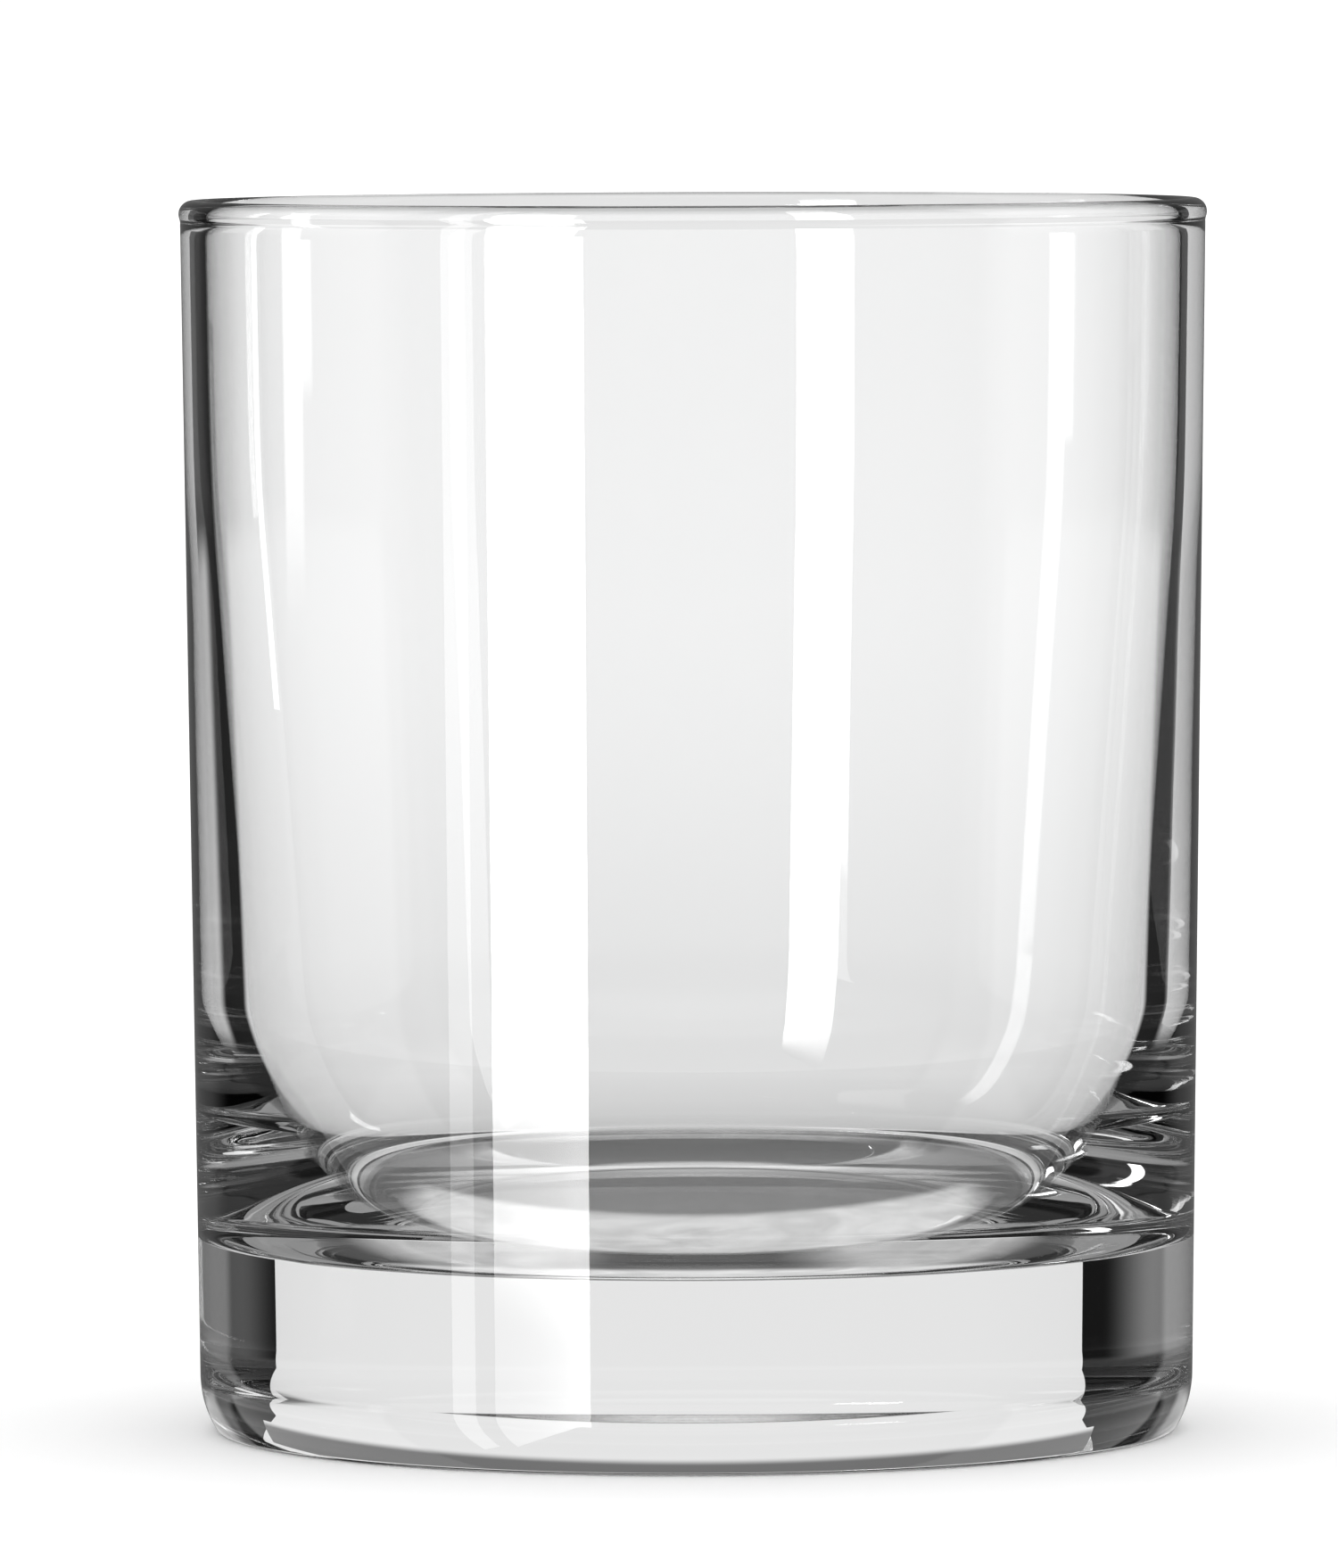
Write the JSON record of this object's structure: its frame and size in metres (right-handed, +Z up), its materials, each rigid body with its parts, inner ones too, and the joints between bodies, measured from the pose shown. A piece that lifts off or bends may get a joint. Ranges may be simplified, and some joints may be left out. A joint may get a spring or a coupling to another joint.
{
  "type": "rocks glass",
  "caption": "Clear rocks glass: straight-sided, slightly tapered tumbler with a thick heavy base, dished inside floor and rounded rim, for drinks served short.",
  "frame": {"origin": "centre of the standing ring, on the table plane", "axes": "+Z up along the axis of the glass; X and Y are equivalent because the glass is round"},
  "size_m": [0.0792, 0.0792, 0.095],
  "materials": {
    "clear_glass": "clear colourless soda-lime glass, fire-polished and smooth"
  },
  "bodies": {
    "root": {"rim_bead": "clear_glass", "side_wall": "clear_glass", "heavy_base": "clear_glass"}
  },
  "joints": []
}
